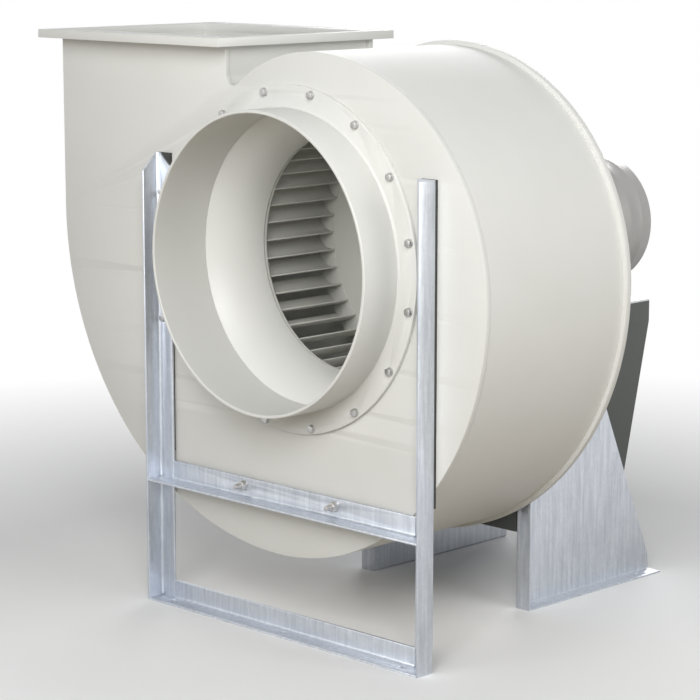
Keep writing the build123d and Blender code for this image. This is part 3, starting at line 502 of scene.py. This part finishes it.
casing()
inlet()
wheel()
replaced = {"scroll_front_plate", "scroll_rear_plate", "scroll_wrapper", "outlet_flange", "inlet_spigot",
            "inlet_nozzle", "inlet_ring", "inlet_ring_screws", "impeller_back_plate", "impeller_front_ring",
            "impeller_blades", "impeller_hub", "impeller_hub_bolts", "hub_cap"}
BEVELS = {
    "left_upright": 0.0008, "right_upright": 0.0008, "crossbar": 0.0008, "bottom_bar": 0.0008,
    "left_leg": 0.0012, "right_leg": 0.0012, "left_seat_cheek": 0.001, "right_seat_cheek": 0.001,
    "seat_front_wall": 0.001, "motor_base_plate": 0.0008, "motor_bars": 0.0008, "motor_feet": 0.0015,
    "motor_fan_cowl": 0.001, "motor_frame": 0.0006, "motor_front_shield": 0.001, "motor_rear_shield": 0.001,
    "terminal_box": 0.001, "terminal_box_lid": 0.0012, "casing_battens": 0.001, "upright_screws": 0.0005,
    "crossbar_studs": 0.0005, "casing_bolts": 0.0005, "leg_bolts": 0.0005, "motor_bolts": 0.0005,
}
rest()


# The camera, lamps, world and floor

CAMERA_PLACE = (3.3280, -3.5109, 1.3294)
CAMERA_YAW = 44.781
CAMERA_PITCH = 10.017
CAMERA_LENS = 126.89


def camera():
    data = bpy.data.cameras.new("camera")
    data.sensor_width = 36.0
    data.lens = CAMERA_LENS
    data.clip_end = 60.0
    eye = bpy.data.objects.new("camera", data)
    eye.location = CAMERA_PLACE
    eye.rotation_euler = (math.radians(90 - CAMERA_PITCH), 0, math.radians(CAMERA_YAW))
    bpy.context.scene.collection.objects.link(eye)
    bpy.context.scene.camera = eye


def lamp(name, place, target, size, power):
    data = bpy.data.lights.new(name, "AREA")
    data.shape = "RECTANGLE"
    data.size, data.size_y = size
    data.energy = power
    light = bpy.data.objects.new(name, data)
    light.location = place
    light.rotation_euler = (Vector(target) - Vector(place)).to_track_quat("-Z", "Y").to_euler()
    bpy.context.scene.collection.objects.link(light)


LAMPS = (
    # name, place, width and height, power
    ("front softbox", (0.2, -4.2, 1.6), (2.6, 2.2), 43),
    ("high right softbox", (2.6, -3.4, 2.8), (2.4, 2.2), 144),
    ("right softbox", (4.2, 0.2, 1.8), (2.2, 2.4), 55),
    ("rear softbox", (-2.6, 4.0, 2.4), (2.6, 2.2), 60),
)
SKY = (0.93, 0.96, 1.0)
SKY_STRENGTH = 0.15
FLOOR_SHOWN = (0.86, 0.86, 0.85)
FLOOR_BOUNCE = (0.34, 0.29, 0.22)


def seen_directly(tree):
    """1 for camera, glossy and transmission rays, which see the studio's white, and 0 for the others."""
    rays = tree.nodes.new("ShaderNodeLightPath")
    total = rays.outputs["Is Camera Ray"]
    for name in ("Is Glossy Ray", "Is Transmission Ray"):
        either = tree.nodes.new("ShaderNodeMath")
        either.operation = "MAXIMUM"
        tree.links.new(total, either.inputs[0])
        tree.links.new(rays.outputs[name], either.inputs[1])
        total = either.outputs[0]
    return total


def studio():
    for name, place, size, power in LAMPS:
        lamp(name, place, (0, 0, 0.6), size, power)
    world = bpy.data.worlds.new("studio")
    bpy.context.scene.world = world
    world.use_nodes = True
    tree = world.node_tree
    back = tree.nodes["Background"]
    back.inputs["Color"].default_value = (*SKY, 1)
    back.inputs["Strength"].default_value = SKY_STRENGTH
    shown = tree.nodes.new("ShaderNodeBackground")
    shown.inputs["Color"].default_value = (1, 1, 1, 1)
    shown.inputs["Strength"].default_value = 1.0
    mixed = tree.nodes.new("ShaderNodeMixShader")
    tree.links.new(seen_directly(tree), mixed.inputs[0])
    tree.links.new(back.outputs[0], mixed.inputs[1])
    tree.links.new(shown.outputs[0], mixed.inputs[2])
    tree.links.new(mixed.outputs[0], tree.nodes["World Output"].inputs["Surface"])


def floor():
    """A pale floor whose far parts fade to white; its bounce on the object is warmer and weaker."""
    mesh = bpy.data.meshes.new("floor")
    half = 14.0
    mesh.from_pydata([(-half, -half, 0), (half, -half, 0), (half, half, 0), (-half, half, 0)], [], [(0, 1, 2, 3)])
    ground = bpy.data.objects.new("floor", mesh)
    bpy.context.scene.collection.objects.link(ground)
    material, tree, surface = shader("floor")
    surface.inputs["Base Color"].default_value = (*FLOOR_SHOWN, 1)
    surface.inputs["Roughness"].default_value = 0.7
    bounce = tree.nodes.new("ShaderNodeBsdfDiffuse")
    bounce.inputs["Color"].default_value = (*FLOOR_BOUNCE, 1)
    lit = tree.nodes.new("ShaderNodeMixShader")
    direct = seen_directly(tree)
    tree.links.new(direct, lit.inputs[0])
    tree.links.new(bounce.outputs[0], lit.inputs[1])
    tree.links.new(surface.outputs[0], lit.inputs[2])
    where = tree.nodes.new("ShaderNodeTexCoord")
    far = tree.nodes.new("ShaderNodeVectorMath")
    far.operation = "LENGTH"
    tree.links.new(where.outputs["Object"], far.inputs[0])
    fade = ramp(tree, far.outputs["Value"], 0.0, 1.0, 0.9, 2.4)
    only = tree.nodes.new("ShaderNodeMath")
    only.operation = "MULTIPLY"
    tree.links.new(fade, only.inputs[0])
    tree.links.new(direct, only.inputs[1])
    white = tree.nodes.new("ShaderNodeEmission")
    white.inputs["Color"].default_value = (1, 1, 1, 1)
    mixed = tree.nodes.new("ShaderNodeMixShader")
    tree.links.new(only.outputs[0], mixed.inputs[0])
    tree.links.new(lit.outputs[0], mixed.inputs[1])
    tree.links.new(white.outputs[0], mixed.inputs[2])
    tree.links.new(mixed.outputs[0], tree.nodes["Material Output"].inputs["Surface"])
    mesh.materials.append(material)


camera()
studio()
floor()
bpy.context.scene.view_settings.view_transform = "Standard"
